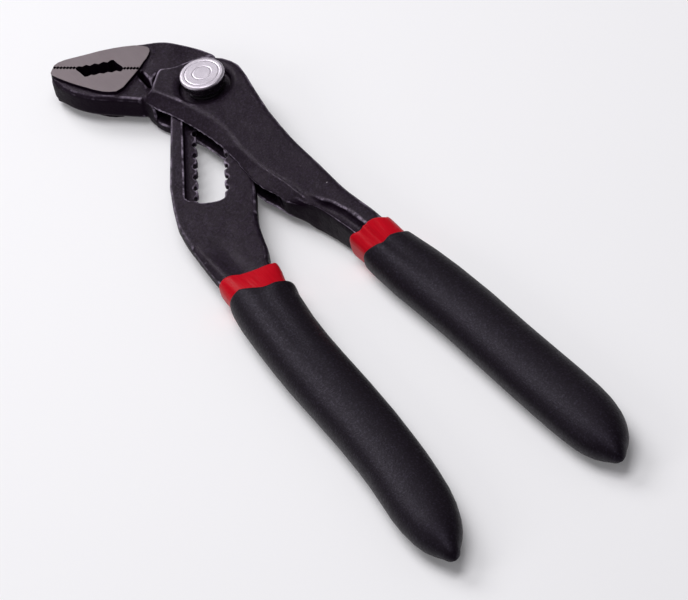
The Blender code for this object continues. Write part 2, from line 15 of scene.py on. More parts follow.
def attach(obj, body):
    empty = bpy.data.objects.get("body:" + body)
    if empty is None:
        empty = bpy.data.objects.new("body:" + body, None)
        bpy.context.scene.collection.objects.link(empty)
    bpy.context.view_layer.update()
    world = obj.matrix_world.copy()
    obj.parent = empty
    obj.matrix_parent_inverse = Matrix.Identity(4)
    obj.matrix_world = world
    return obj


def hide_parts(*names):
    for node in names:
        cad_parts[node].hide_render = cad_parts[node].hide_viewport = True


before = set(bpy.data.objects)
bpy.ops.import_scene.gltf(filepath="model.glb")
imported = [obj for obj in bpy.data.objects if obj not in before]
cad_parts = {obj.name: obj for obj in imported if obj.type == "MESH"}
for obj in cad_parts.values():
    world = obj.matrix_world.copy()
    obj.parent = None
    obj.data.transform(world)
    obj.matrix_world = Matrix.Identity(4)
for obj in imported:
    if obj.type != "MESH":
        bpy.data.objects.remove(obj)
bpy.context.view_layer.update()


# ------------------------------------------------------------------ box forging
# The outer half: lower jaw, box with its two cheeks, grooved shank. Drop-forged chrome vanadium
# steel, trimmed, tumbled and phosphated black, so its edges are round. They are painted paler
# than its flats, as rubbed wear and as painted highlight. The tang runs down inside the grip.

MM = 0.001
MID = 6.5                      # height of the parting line
SHOULDER = 3.9                 # half thickness of the black jaw beside the ground faces
SHOULDER_FROM = 15.5           # X where that begins
FORGING_SKIN = 0.36            # step of the skin that rounds the trimmed edges
JAW_REAR, JAW_TIP = Vector((20.0, 10.3)), Vector((38.2, 28.7))
ALONG = (JAW_TIP - JAW_REAR).normalized()
ACROSS = Vector((ALONG.y, -ALONG.x))
# Distance along the bite from its rear end, and how far behind it the round skin stops
BEHIND_BITE = ((-3.0, 0.9), (4.6, 0.9), (6.2, 3.2), (9.0, 4.4), (13.5, 4.2), (17.6, 2.6),
               (19.2, 1.0), (28.0, 0.8))
BITE_SPAN = (0.3, 27.5)        # stretch of the bite where the skin is drawn back

# Shank at each -X: where its top ends, where its side ends, half its height on top, and how far
# the crest of its draft stands out past that
SHANK_X = (36.0, 41.0, 46.0, 51.0, 56.0, 61.0, 66.0, 72.0, 77.0, 82.0, 88.0, 94.0)
SHANK = ((6.1, 5.8, 5.0, 3.9, 3.0, 2.6, 1.9, 0.9, 0.3, -0.3, -1.3, -1.6),
         (9.5, 9.9, 9.6, 8.2, 7.2, 4.9, 3.2, 2.0, 1.4, 0.8, -0.2, -0.7),
         (5.4, 5.4, 5.4, 5.4, 5.3, 5.1, 4.9, 4.7, 4.5, 4.3, 3.6, 3.4),
         (0.0, 0.1, 0.3, 0.6, 0.9, -0.3, -1.5, 0.0, 0.0, 0.0, 0.0, 0.0))
# Middle and half width of the groove between its flanges
GROOVE_X = (57.0, 62.0, 67.0, 73.0, 80.0, 92.0)
GROOVE = ((4.4, 1.7, -0.8, -2.4, -3.3, -4.6), (0.6, 1.3, 1.7, 1.9, 1.9, 1.5))
GROOVE_DRAW = 1.6              # how far the groove is drawn towards +Y
WEB_FOOT = -8.2                # far side of the web, which stays where it is
WALL_HALF = 2.9                # half height of the upright band along the parting line
FILL_BAND = (-70.0, -34.0)     # X between which the groove is filled behind the cheeks
CREST = (3.4, 2.8, 2.3, 1.2, -0.3, -2.2)      # its Y at each GROOVE_X
CREST_WIDTH, CREST_HEIGHT = 0.9, 0.45


def paint(hexa):
    """Linear RGBA of an sRGB hex colour."""
    channels = [int(hexa[k:k + 2], 16) / 255 for k in (1, 3, 5)]
    return (*(c / 12.92 if c <= 0.04045 else ((c + 0.055) / 1.055) ** 2.4 for c in channels), 1.0)


def feed(tree, node, inputs):
    """Gives each input a value or the socket that feeds it."""
    for name, value in inputs.items():
        if isinstance(value, bpy.types.NodeSocket):
            tree.links.new(value, node.inputs[name])
        else:
            node.inputs[name].default_value = value


def add(tree, kind, inputs=None, **settings):
    """Adds one node."""
    made = tree.nodes.new("ShaderNode" + kind)
    for name, value in settings.items():
        setattr(made, name, value)
    feed(tree, made, inputs or {})
    return made


def noise(tree, where, size, detail, roughness=0.5):
    """Cloudy noise with its largest features about size metres across."""
    return add(tree, "TexNoise", {"Vector": where, "Scale": 1 / size, "Detail": detail,
                                  "Roughness": roughness}).outputs["Fac"]


def spread(tree, value, low, high, start=0.0, end=1.0):
    """A value that goes from low to high as another goes from start to end."""
    return add(tree, "MapRange", {"Value": value, "From Min": start, "From Max": end,
                                  "To Min": low, "To Max": high}).outputs[0]


def product(tree, first, second):
    return add(tree, "Math", {0: first, 1: second}, operation="MULTIPLY").outputs[0]


def blend(tree, share, low, high):
    """A colour between two, each a hex colour or a socket."""
    low, high = (paint(c) if isinstance(c, str) else c for c in (low, high))
    return add(tree, "Mix", {0: share, 6: low, 7: high}, data_type="RGBA").outputs[2]


def bump(tree, height, strength, distance, over=None):
    """Relief of distance metres, on top of another relief if one is given."""
    inputs = {"Height": height, "Strength": strength, "Distance": distance}
    if over is not None:
        inputs["Normal"] = over
    return add(tree, "Bump", inputs).outputs[0]


def new_finish(name):
    """An empty material: its node tree, its shader and the object's own coordinates."""
    made = bpy.data.materials.new(name)
    made.use_nodes = True
    tree = made.node_tree
    return made, tree, tree.nodes["Principled BSDF"], add(tree, "TexCoord").outputs["Object"]


def ease(value, start, end):
    """0 at start, 1 at end, smooth between."""
    t = np.clip((value - start) / (end - start), 0.0, 1.0)
    return t * t * (3.0 - 2.0 * t)


def hump(value, centre, width):
    """1 at the centre, falling off smoothly either side."""
    return np.exp(-((value - centre) / width) ** 2)


def put_in_scene(name, data):
    """A new object for a mesh, a light or a camera."""
    obj = bpy.data.objects.new(name, data)
    bpy.context.scene.collection.objects.link(obj)
    return obj


def forged(name, node):
    """Copy of a forging with its edges rounded as tumbling leaves them."""
    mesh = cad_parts[node].data.copy()
    bm = bmesh.new()
    bm.from_mesh(mesh)
    bmesh.ops.remove_doubles(bm, verts=bm.verts[:], dist=2e-6)
    bm.to_mesh(mesh)
    bm.free()
    obj = put_in_scene(name, mesh)
    skin = obj.modifiers.new("skin", "REMESH")
    skin.mode = "VOXEL"
    skin.voxel_size = FORGING_SKIN * MM
    rounding = obj.modifiers.new("rounding", "SMOOTH")
    rounding.factor = 0.5
    rounding.iterations = 7
    graph = bpy.context.evaluated_depsgraph_get()
    skinned = bpy.data.meshes.new_from_object(obj.evaluated_get(graph))
    obj.modifiers.clear()
    obj.data = skinned
    skinned.materials.clear()
    skinned.shade_smooth()
    return obj


def points_of(mesh):
    """The vertices in millimetres."""
    flat = np.empty(len(mesh.vertices) * 3, np.float32)
    mesh.vertices.foreach_get("co", flat)
    return flat.reshape(-1, 3) / MM


def put_points(mesh, points):
    """Sets the vertices from millimetres."""
    mesh.vertices.foreach_set("co", (points * MM).astype(np.float32).ravel())
    mesh.update()


def clear_bite(points, side):
    """Draws the skin back from the bite, where the sharp ground jaw stands."""
    flat = points[:, :2] - np.array(JAW_REAR)
    along = flat @ np.array(ALONG)
    across = flat @ np.array(ACROSS) * side
    line = np.interp(along, [a for a, _ in BEHIND_BITE], [b for _, b in BEHIND_BITE])
    near = (along > BITE_SPAN[0]) & (along < BITE_SPAN[1]) & (across < line)
    shift = np.where(near, line - across, 0.0) * side
    points[:, :2] += shift[:, None] * np.array(ACROSS)
    high = (np.abs(points[:, 2] - MID) > SHOULDER) & (points[:, 0] > SHOULDER_FROM)
    points[:, 2] = np.where(high, MID + SHOULDER * np.sign(points[:, 2] - MID), points[:, 2])
    return points


def mark_edges(mesh):
    """Stores how sharply each point stands out, for edges painted paler as wear and highlight."""
    points = points_of(mesh)
    ends = np.empty(len(mesh.edges) * 2, np.int32)
    mesh.edges.foreach_get("vertices", ends)
    ends = ends.reshape(-1, 2)
    normals = np.empty(len(mesh.vertices) * 3, np.float32)
    mesh.vertices.foreach_get("normal", normals)
    normals = normals.reshape(-1, 3)
    count = np.bincount(ends.ravel(), minlength=len(points))[:, None].clip(1)

    def around(values):
        total = np.zeros_like(values)
        for a, b in ((0, 1), (1, 0)):
            np.add.at(total, ends[:, a], values[ends[:, b]])
        return total / count

    lift = ((points - around(points)) * normals).sum(axis=1, keepdims=True)
    for _ in range(3):
        lift = (lift + around(lift)) / 2
    mesh.attributes.new("edge", "FLOAT", "POINT").data.foreach_set("value", lift.ravel())


# Black phosphate over a tumbled forging: charcoal with a faint violet cast, half dull, with a few
# bare specks. Its edges are painted lighter, as rubbed wear and as painted highlight, and its
# walls darker than its flats, as painted shade
phosphate, tree, shader, where = new_finish("black_phosphated_steel")
tint = blend(tree, noise(tree, where, 0.009, 3.0), "#0e070e", "#1b121c")
# Grain of the coat, 0.7 mm and finer: the little cold light its crystals catch is painted in
grain = noise(tree, where, 0.0007, 4.0, 0.8)
coat = blend(tree, spread(tree, grain, 0.0, 0.5, 0.48, 0.7), tint, "#40364a")
# Painted shade: the walls are painted a duller black than the flats, and reflect less
facing = add(tree, "SeparateXYZ", {"Vector": add(tree, "TexCoord").outputs["Normal"]}).outputs["Z"]
facing = add(tree, "Math", {0: facing}, operation="ABSOLUTE").outputs[0]
flat = spread(tree, facing, 0.0, 1.0, 0.25, 0.85)
coat = blend(tree, flat, "#110713", coat)
# Edges painted lighter in patches: partly rubbed wear, partly painted highlight
patchy = noise(tree, where, 0.0022, 5.0, 0.65)
edge = add(tree, "Attribute", attribute_name="edge").outputs["Fac"]
rubbed_and_highlit = product(tree, spread(tree, edge, 0.0, 1.0, 0.0125, 0.026),
                 spread(tree, patchy, 0.1, 1.0, 0.42, 0.62))
coat = blend(tree, rubbed_and_highlit, coat, "#95899c")
bare = spread(tree, noise(tree, where, 0.0028, 6.0, 0.7), 0.0, 1.0, 0.72, 0.74)
# The waves that the die and the tumbling leave, 6 mm and shorter, lie under the grain
waves = bump(tree, noise(tree, where, 0.006, 3.0), 0.6, 0.0006)
feed(tree, shader, {"Base Color": blend(tree, bare, coat, "#9a949a"),
                    "Roughness": spread(tree, patchy, 0.34, 0.5, 0.3, 0.7), "IOR": 1.5,
                    "Specular IOR Level": spread(tree, flat, 0.03, 0.15),
                    "Specular Tint": paint("#f3e2f6"),
                    "Normal": bump(tree, grain, 0.7, 0.00014, waves)})

box = forged("box_forging", "box_handle")
box_points = clear_bite(points_of(box.data), -1)
x, y, z = box_points.T
near_top, near_out, top_half, near_top_more = (np.interp(-x, SHANK_X, row) for row in SHANK)
groove, groove_half = (np.interp(-x, GROOVE_X, row) for row in GROOVE)
# The groove lies against the near flange, so the web beside it is drawn over
rising = np.clip((y - WEB_FOOT) / (groove - groove_half - WEB_FOOT), 0.0, 1.0)
falling = np.clip((near_out - y) / (near_out - groove - groove_half), 0.0, 1.0)
drawn = ease(-x, 54.0, 66.0) * (1.0 - ease(-x, 84.0, 92.0)) * np.minimum(rising, falling)
# and it fades out where the cheeks begin
near_top += near_top_more
fall = (top_half - WALL_HALF) / (near_out - near_top)
level = top_half - np.clip(y - near_top, 0.0, None) * fall
tall = np.abs(z - MID)
filled = (y > groove - groove_half - 0.6) & (y < near_out) & (tall > 2.6)
filled &= (x > FILL_BAND[0]) & (x < FILL_BAND[1])
rise = np.where(filled, np.maximum(level - 0.1 - tall, 0.0), 0.0) * ease(x, -66.5, -59.0)
# The near flange ends in a low crest
crest = hump(y, np.interp(-x, GROOVE_X, CREST), CREST_WIDTH)
crest *= ease(-x, 62.0, 69.0) * ease(tall, 2.4, 3.4)
box_points[:, 1] += GROOVE_DRAW * drawn
box_points[:, 2] += (rise + CREST_HEIGHT * crest) * np.sign(z - MID)
put_points(box.data, box_points)
mark_edges(box.data)
box.data.materials.append(phosphate)
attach(box, "box_side")
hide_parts("box_handle")


# ------------------------------------------------------------------ ground jaws
# The biting end of each forging: induction hardened, broached teeth 1 mm apart with a
# scalloped pipe cavity between, and both flat faces ground bright after the black coat.

FACE_HALF = 5.04               # half thickness over the ground faces
TOOTH_DEPTH = 0.5
BITE_GAP = 0.3                 # between the closed jaws
RIM = 0.07                     # blunting of the ground edges
# Where the rear teeth end and the tip's teeth begin along the bite, and how many there are
REAR_TEETH, TIP_TEETH = (4.8, 5), (19.0, 7)
# Pipe cavity: distance along the bite and height over it
UPPER_CAVITY = ((5.4, 0.8), (6.9, 1.9), (8.5, 3.4), (9.3, 3.3), (10.1, 2.3), (11.4, 2.6),
                (12.5, 1.6), (13.8, 1.9), (15.0, 0.9), (16.2, 1.3), (17.2, 0.5), (18.3, 0.7))
LOWER_CAVITY = ((4.9, -1.1), (5.5, -1.4), (6.6, -1.0), (7.7, -1.8), (9.0, -1.6), (10.1, -2.3),
                (11.3, -2.1), (12.6, -3.0), (13.7, -2.8), (14.5, -3.5), (15.4, -3.7), (17.3, -1.9),
                (18.7, -0.8))
# Outline of each ground face round its back, X and Y
UPPER_BACK = ((38.8, 27.9), (39.0, 26.4), (38.5, 24.2), (37.1, 21.0), (35.8, 18.0), (34.6, 15.0),
              (32.8, 11.5), (31.3, 9.0), (29.3, 6.2), (27.8, 4.8), (26.2, 3.9), (25.2, 3.8),
              (24.2, 4.2), (23.0, 5.4), (22.1, 6.7), (21.5, 8.0))
LOWER_BACK = ((36.8, 30.3), (35.8, 30.6), (33.0, 29.7), (29.3, 28.3), (26.0, 26.8), (21.7, 24.7),
              (19.3, 23.3), (17.7, 21.9), (16.4, 20.2), (16.5, 17.8), (17.8, 15.0), (19.2, 12.0))


def on_bite(along, across):
    """X and Y of a point measured along and across the bite."""
    return JAW_REAR + ALONG * along + ACROSS * across


def new_mesh(name, bm, finishes):
    """A mesh in metres from one modelled in millimetres."""
    bmesh.ops.scale(bm, vec=(MM, MM, MM), verts=bm.verts[:])
    mesh = bpy.data.meshes.new(name)
    bm.to_mesh(mesh)
    bm.free()
    for finish in finishes:
        mesh.materials.append(finish)
    return mesh


def new_piece(name, bm, finishes, body):
    """Puts a mesh modelled in millimetres on its body."""
    bmesh.ops.remove_doubles(bm, verts=bm.verts[:], dist=1e-4)
    bmesh.ops.recalc_face_normals(bm, faces=bm.faces[:])
    obj = put_in_scene(name, new_mesh(name, bm, finishes))
    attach(obj, body)
    return obj


def closed_line(bm, corners, height):
    """Joins the corners round. Edge k ends at corner k."""
    verts = [bm.verts.new((*corner, height)) for corner in corners]
    return [bm.edges.new((verts[k - 1], verts[k])) for k in range(len(verts))]


def cut_teeth(bm, edge, count, depth):
    """Cuts one straight edge into teeth by drawing every second new point back."""
    start = edge.verts[0].co.copy()
    made = bmesh.ops.subdivide_edges(bm, edges=[edge], cuts=2 * count - 1)
    new = sorted((v for v in made["geom_inner"] if isinstance(v, bmesh.types.BMVert)),
                 key=lambda v: (v.co - start).length)
    bmesh.ops.translate(bm, vec=(*(ACROSS * depth), 0.0), verts=new[::2])


def ground_jaw(name, side, cavity, back, body):
    """The crisp biting block of one jaw, from its outline."""
    bm = bmesh.new()
    shift = side * BITE_GAP / 2
    bite = [on_bite(0.0, shift), on_bite(REAR_TEETH[0], shift),
            *(on_bite(a, b) for a, b in cavity),
            on_bite(TIP_TEETH[0], shift), on_bite((JAW_TIP - JAW_REAR).length, shift)]
    corners = bite + [Vector(p) for p in back]
    edges = closed_line(bm, corners, MID - FACE_HALF)
    cut_teeth(bm, edges[1], REAR_TEETH[1], side * TOOTH_DEPTH)
    cut_teeth(bm, edges[len(bite) - 1], TIP_TEETH[1], side * TOOTH_DEPTH)
    bmesh.ops.contextual_create(bm, geom=bm.edges[:])
    raised = bmesh.ops.extrude_face_region(bm, geom=bm.faces[:] + bm.edges[:] + bm.verts[:],
                                           use_keep_orig=True)
    bmesh.ops.translate(bm, vec=(0.0, 0.0, 2 * FACE_HALF),
                        verts=[v for v in raised["geom"] if isinstance(v, bmesh.types.BMVert)])
    bmesh.ops.recalc_face_normals(bm, faces=bm.faces[:])
    rims = [e for e in bm.edges if abs(e.verts[0].co.z - e.verts[1].co.z) < 1e-6]
    bmesh.ops.bevel(bm, geom=rims, offset=RIM, segments=2, profile=0.5, material=-1,
                    affect="EDGES")
    for face in bm.faces:
        face.material_index = 0 if abs(face.normal.z) > 0.35 else 1
    obj = new_piece(name, bm, (ground, phosphate), body)


# Surface-ground tool steel: warm grey, half dull, with fine straight wheel marks. The marks are
# about 0.1 mm apart on the real faces and are drawn 0.25 mm apart, so that they show
ground, tree, shader, where = new_finish("surface_ground_steel")
wheel = add(tree, "Mapping", {"Vector": where, "Rotation": (0.0, 0.0, math.radians(-38)),
                              "Scale": (1 / 0.009, 1 / 0.00025, 1.0)}).outputs[0]
marks = noise(tree, wheel, 1.0, 3.0)
stain = spread(tree, noise(tree, where, 0.006, 3.0), 0.0, 0.35, 0.45, 0.75)
steel = blend(tree, marks, "#6b6266", "#7d7377")
feed(tree, shader, {"Base Color": blend(tree, stain, steel, "#665d61"), "Metallic": 0.9,
                    "Roughness": spread(tree, marks, 0.38, 0.55),
                    "Normal": bump(tree, marks, 0.25, 0.00003)})

ground_jaw("lower_ground_jaw", -1, LOWER_CAVITY, LOWER_BACK, "box_side")
ground_jaw("upper_ground_jaw", 1, UPPER_CAVITY, UPPER_BACK, "leg_side")


# ------------------------------------------------------------------ slotted leg
# The inner half: upper jaw, flat leg with the toothed slot broached through it, and a shank
# with a raised outer flange. Forged and phosphated like the box, then passed through its window.

# Outer flange of the shank and the valley beside it: Y of the middle, width, height
FLANGE, VALLEY = (35.9, 2.0, 0.55), (31.0, 2.2, 0.3)
NECK = (23.0, 1.5)             # middle of the upper jaw's neck
NECK_DOME = 0.5                # how far it domes above its flat
# The back of the upper jaw: its rear corner, the way it runs from there, the distance along it,
# how far it bows out, and how far it stands out past the ground face
BACK_REAR = (24.6, 3.4)
BACK_RUN = (0.579, 0.815)
BACK_ALONG = (-10.0, 0.0, 1.1, 3.0, 5.0, 8.4, 11.4, 15.2, 18.4, 21.6)
BACK_OUT = (-1.5, 0.0, 0.9, 1.8, 2.2, 2.2, 2.0, 1.4, 0.7, 0.0)
BACK_SWELL = 0.8

leg = forged("leg_forging", "slotted_leg")
leg_points = clear_bite(points_of(leg.data), 1)
x, y, z = leg_points.T
flange, valley = (hump(y, middle, width) * height for middle, width, height in (FLANGE, VALLEY))
shank = ease(-x, 54.0, 66.0) * flange - ease(-x, 52.0, 64.0) * valley
leg_points[:, 2] += shank * np.sign(z - MID) * ease(np.abs(z - MID), 1.2, 2.0)
# The neck is full and domed, and its back swells out past the ground face
from_neck = np.hypot(x - NECK[0], y - NECK[1])
dome = NECK_DOME * (1.0 - ease(from_neck, 3.0, 10.0)) * ease(np.abs(z - MID), 1.5, 3.4)
leg_points[:, 2] += dome * np.sign(z - MID)
from_rear = leg_points[:, :2] - np.array(BACK_REAR)
along_back = from_rear @ np.array(BACK_RUN)
outward = np.array((BACK_RUN[1], -BACK_RUN[0]))
edge_at = np.interp(along_back, BACK_ALONG, BACK_OUT)
swelling = ease(along_back, -9.0, -2.0) * (1.0 - ease(along_back, 12.0, 21.0))
swelling *= ease(from_rear @ outward - edge_at, -4.0, -0.3)
leg_points[:, :2] += BACK_SWELL * swelling[:, None] * outward
put_points(leg.data, leg_points)
mark_edges(leg.data)
leg.data.materials.append(phosphate)
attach(leg, "leg_side")
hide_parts("slotted_leg")


# ------------------------------------------------------------------ pivot bolt and spring
# Turned and milled bolt, hardened and left bright, with a wound wire spring round its neck that
# lifts it. The flats and lugs carry the load.

bright, tree, shader, where = new_finish("turned_bright_steel")
lathe = noise(tree, where, 0.0008, 3.0)
feed(tree, shader, {"Base Color": blend(tree, lathe, "#7d7880", "#a6a1a8"), "Metallic": 1.0,
                    "Roughness": spread(tree, lathe, 0.25, 0.45)})

wire, tree, shader, where = new_finish("oiled_spring_wire")
oil = noise(tree, where, 0.0006, 2.0)
feed(tree, shader, {"Base Color": blend(tree, oil, "#4d4a50", "#6f6b72"), "Metallic": 1.0,
                    "Roughness": 0.35})

for node, finish in (("pivot_bolt", bright), ("button_spring", wire)):
    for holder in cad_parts[node].material_slots:
        holder.material = finish


# ------------------------------------------------------------------ push button
# Turned steel cap pressed on the neck of the bolt, nickel plated. Its face has a rounded rim and
# two shallow turned rings, and its skirt goes down over the spring.

# Radius and height over the table, from the underside out and up to the middle of the face
BUTTON_PROFILE = (
    (0.0, 14.9), (5.0, 14.9), (5.6, 14.7), (5.75, 13.3), (5.9, 13.1), (6.1, 13.1),
    (6.2, 13.3), (6.2, 15.1), (6.28, 15.3), (6.45, 15.4), (6.5, 15.55), (6.5, 15.95),
    (6.45, 16.2), (6.33, 16.36), (6.15, 16.46), (5.95, 16.5), (5.8, 16.5), (5.3, 16.5),
    (5.2, 16.5), (5.1, 16.44), (4.9, 16.44), (4.8, 16.5), (4.7, 16.5), (3.0, 16.5),
    (2.9, 16.5), (2.8, 16.45), (2.6, 16.45), (2.5, 16.5), (2.4, 16.5), (0.0, 16.5))

nickel, tree, shader, where = new_finish("nickel_plated_steel")
reach = add(tree, "VectorMath", {0: where, 1: (1.0, 1.0, 0.0)}, operation="MULTIPLY").outputs[0]
radius = add(tree, "VectorMath", {0: reach}, operation="LENGTH").outputs["Value"]
# Rings of the turning tool, 0.12 mm apart
lathe = add(tree, "TexNoise", {"W": radius, "Scale": 1 / 0.00012, "Detail": 2.0},
            noise_dimensions="1D").outputs["Fac"]
# Below the rim the plate is darker, smoother and spotted with rust
height = add(tree, "SeparateXYZ", {"Vector": where}).outputs["Z"]
skirt = spread(tree, height, 0.0, 1.0, 0.01595, 0.0152)
cloud = noise(tree, where, 0.0022, 5.0)
plate = blend(tree, skirt, blend(tree, cloud, "#b9b1bc", "#cfc8d2"), "#a8a2aa")
rust = spread(tree, noise(tree, where, 0.0009, 4.0), 0.0, 1.0, 0.62, 0.68)
dull = add(tree, "Mix", {0: skirt, 2: spread(tree, cloud, 0.34, 0.5), 3: 0.25}).outputs[0]
feed(tree, shader, {"Base Color": blend(tree, product(tree, rust, skirt), plate, "#5b4632"),
                    "Metallic": 1.0, "Roughness": dull,
                    "Normal": bump(tree, lathe, 0.12, 0.00002)})

bm = bmesh.new()
profile = [bm.verts.new((r, 0.0, h)) for r, h in BUTTON_PROFILE]
for a, b in zip(profile, profile[1:]):
    bm.edges.new((a, b))
bmesh.ops.spin(bm, geom=bm.verts[:] + bm.edges[:], cent=(0.0, 0.0, 0.0), axis=(0.0, 0.0, 1.0),
               angle=2 * math.pi, steps=96, use_merge=True)
button = new_piece("nickel_button", bm, (nickel,), "button_bolt")
button.data.shade_smooth()
button.data.set_sharp_from_angle(angle=math.radians(50))
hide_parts("push_button")


# ------------------------------------------------------------------ red under-layer
# First dip of each grip: red plastisol about 0.6 mm thick, cured on the hot tang. It ends in a
# soft uneven edge on the shank and shows as a band in front of the black layer.

# X, Y of the middle, half width and half height over all, squareness
BOX_BAND = ((-83.2, -4.4, 6.7, 5.6, 3.4), (-85.5, -4.6, 6.8, 5.6, 3.2),
            (-89.0, -4.7, 6.8, 5.5, 2.9), (-94.0, -5.0, 6.9, 5.3, 2.4),
            (-99.0, -5.4, 7.1, 5.3, 2.3))
LEG_BAND = ((-72.4, 31.0, 8.8, 4.2, 4.0), (-76.0, 31.5, 8.8, 4.7, 3.4),
            (-80.0, 32.1, 8.5, 5.0, 2.8), (-86.0, 33.0, 8.4, 5.2, 2.4),
            (-92.0, 33.9, 8.4, 5.2, 2.3))
# How far the front edge runs ahead at each share of the half width, from -Y to +Y
BOX_BAND_EDGE = ((-1.0, 0.4), (-0.8, -0.9), (-0.4, 0.0), (-0.05, 0.7), (0.15, -0.2), (0.3, -1.4),
                 (0.45, -1.2), (0.7, -0.2), (0.9, 0.9), (1.0, 1.5))
LEG_BAND_EDGE = ((-1.0, -2.4), (-0.8, -3.0), (-0.3, -2.8), (0.1, -2.4), (0.45, -1.2), (0.75, -0.4),
                 (0.95, 0.0), (1.0, 0.3))
EDGE_FADE = 9.0                # how far down that front still shows in the rings
AROUND = 72                    # points round a grip
RING_STEP = 2.0                # between rings
SLOPE_REACH = 2.0              # either side, to find which way the handle runs
# The rolled front: how far down, and how far in from the skin
LIP = ((0.8, 2.4), (0.2, 1.2), (0.05, 0.6), (0.0, 0.35), (0.12, 0.14), (0.4, 0.03), (0.9, 0.0))


def dipped(name, rows, edge, swell, finish, body, closed_end):
    """A coat dipped on a handle: rings moved down the handle from a rolled front edge."""
    xs = [-row[0] for row in rows]
    middles, *sizes = ([row[k] for row in rows] for k in range(1, 5))
    front, length = xs[0], xs[-1] - xs[0]
    edge_shares, edge_runs = zip(*edge)

    def place(vert, down, inset):
        c, s = math.cos(vert[angle]), math.sin(vert[angle])
        at = front + down
        width, half, square = (float(np.interp(at, xs, column)) for column in sizes)
        before, middle, after = (float(np.interp(at + d, xs, middles))
                                 for d in (-SLOPE_REACH, 0.0, SLOPE_REACH))
        slope = math.atan((before - after) / (2 * SLOPE_REACH))
        share = math.copysign(abs(c) ** (2 / square), c)
        across = share * (width - inset)
        up = math.copysign(abs(s) ** (2 / square), s) * (half - inset)
        # A swell stands out from both faces whatever its sign
        up += math.copysign(swell(down, share), s) * min(1.0, abs(s) * 1.6)
        run = float(np.interp(share, edge_shares, edge_runs)) * max(0.0, 1.0 - down / EDGE_FADE)
        # The grips lie on the table, so they end there
        vert.co = (run - at - across * math.sin(slope), middle + across * math.cos(slope),
                   max(0.0, MID + up))

    bm = bmesh.new()
    angle = bm.verts.layers.float.new("turn")
    ring = set(bmesh.ops.create_circle(bm, segments=AROUND, radius=1.0)["verts"])
    for vert in ring:
        vert[angle] = math.atan2(vert.co.y, vert.co.x)
    rings = max(4, int(length / RING_STEP))
    for k, (down, inset) in enumerate((*LIP, *((d, 0.0) for d in np.linspace(1.8, length, rings)))):
        if k:
            edges = [e for e in bm.edges if all(v in ring for v in e.verts)]
            grown = bmesh.ops.extrude_edge_only(bm, edges=edges)
            ring = {v for v in grown["geom"] if isinstance(v, bmesh.types.BMVert)}
        for vert in ring:
            place(vert, float(down), inset)
    if closed_end:
        last = [e for e in bm.edges if all(v in ring for v in e.verts)]
        bmesh.ops.contextual_create(bm, geom=last)
    obj = new_piece(name, bm, (finish,), body)
    obj.data.shade_smooth()
    return obj


# Plastisol, cured glossy: saturated red, with the fine runs that draining leaves along the handle
red, tree, shader, where = new_finish("red_plastisol")
runs = add(tree, "Mapping", {"Vector": where, "Scale": (1 / 0.012, 1 / 0.0009, 1 / 0.0009)})
streak = noise(tree, runs.outputs[0], 1.0, 2.0)
feed(tree, shader, {"Base Color": blend(tree, streak, "#a60316", "#c0061d"),
                    "Roughness": spread(tree, streak, 0.28, 0.42), "IOR": 1.53,
                    "Specular IOR Level": 0.06, "Subsurface Weight": 0.05,
                    "Subsurface Radius": (0.002, 0.0004, 0.0003),
                    "Normal": bump(tree, streak, 0.5, 0.0002)})


def box_band_swell(down, share):
    """Relief of the shank under the front of the band: a low crest and one narrow rib."""
    fade = max(0.0, 1.0 - down / 13.0)
    flanges = 0.3 * hump(share, -0.25, 0.3) - 1.6 * hump(share, 0.33, 0.14)
    return fade * (flanges - 0.3 * max(0.0, share - 0.3))


def leg_band_swell(down, share):
    """The leg's outer flange, which shows through the front of the band."""
    fade = max(0.0, 1.0 - down / 16.0)
    return fade * (0.75 * hump(share, 0.65, 0.3) - 0.2 * hump(share, 0.1, 0.2))


for name, rows, edge, swell, node, body in (
        ("box_red_band", BOX_BAND, BOX_BAND_EDGE, box_band_swell, "box_liner", "box_side"),
        ("leg_red_band", LEG_BAND, LEG_BAND_EDGE, leg_band_swell, "leg_liner", "leg_side")):
    band = dipped(name, rows, edge, swell, red, body, False)
    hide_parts(node)


# ------------------------------------------------------------------ black grips
# Second dip: black plastisol about 0.8 mm over the red, thicker towards the rounded ends, where
# the last drop leaves a small nib. Its skin is matt and finely pebbled.

BOX_GRIP = (
    (-91.0, -4.9, 7.8, 6.2, 2.5), (-94.0, -5.0, 8.1, 6.3, 2.4), (-99.0, -5.4, 8.4, 6.4, 2.3),
    (-105.0, -5.9, 8.8, 6.5, 2.3), (-115.0, -6.8, 9.0, 6.5, 2.3), (-130.0, -7.75, 9.1, 6.5, 2.3),
    (-150.0, -8.4, 9.2, 6.5, 2.3), (-165.0, -9.0, 9.4, 6.5, 2.3), (-176.0, -9.5, 9.5, 6.5, 2.3),
    (-184.0, -9.8, 9.45, 6.5, 2.3), (-190.0, -9.9, 9.2, 6.4, 2.25), (-196.0, -9.7, 8.5, 6.1, 2.2),
    (-200.0, -9.4, 7.5, 5.7, 2.15), (-203.4, -9.1, 6.1, 5.0, 2.1), (-206.0, -8.8, 4.6, 4.1, 2.05),
    (-207.6, -8.6, 3.3, 3.2, 2.0), (-208.6, -8.5, 2.6, 2.6, 2.0), (-209.6, -8.4, 2.25, 2.25, 2.0),
    (-210.5, -8.3, 1.8, 1.8, 2.0), (-211.0, -8.3, 1.2, 1.2, 2.0), (-211.2, -8.3, 0.5, 0.5, 2.0))
